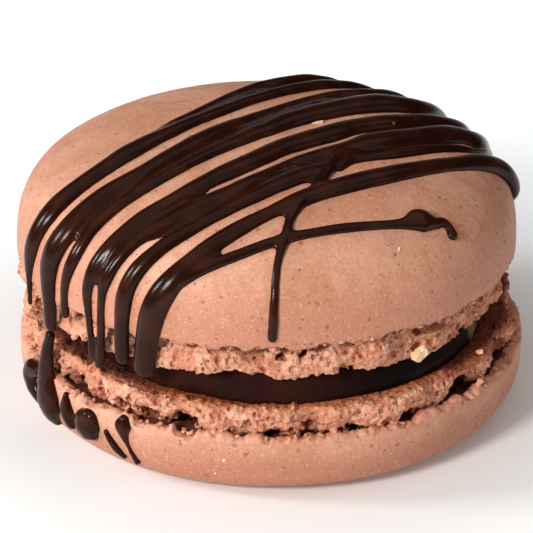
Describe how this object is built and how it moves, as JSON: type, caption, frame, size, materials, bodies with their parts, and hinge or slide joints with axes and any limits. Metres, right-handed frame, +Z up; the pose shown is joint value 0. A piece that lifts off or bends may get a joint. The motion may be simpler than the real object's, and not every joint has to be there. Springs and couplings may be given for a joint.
{
  "type": "chocolate macaron",
  "caption": "Round sandwich biscuit of two domed almond shells with craggy feet, a chocolate ganache layer and dark chocolate drizzled in strands over the top and down one side.",
  "frame": {"origin": "centre of the flat round spot that the macaron rests on", "axes": "+Z up, through both shells; -Y is the front; +X is the right, seen from the front; the drizzle hangs over the rim at the front left"},
  "size_m": [0.0462, 0.0454, 0.0259],
  "materials": {
    "top_shell": "matte baked almond shell, pinkish tan with fine darker specks, with satin dark chocolate drizzle fused on",
    "ganache": "soft satin dark chocolate ganache",
    "bottom_shell": "matte baked almond shell, pinkish tan with fine darker specks, with runs of satin dark chocolate fused on"
  },
  "bodies": {
    "root": {"top_shell": "top_shell", "ganache": "ganache", "bottom_shell": "bottom_shell"}
  },
  "joints": []
}
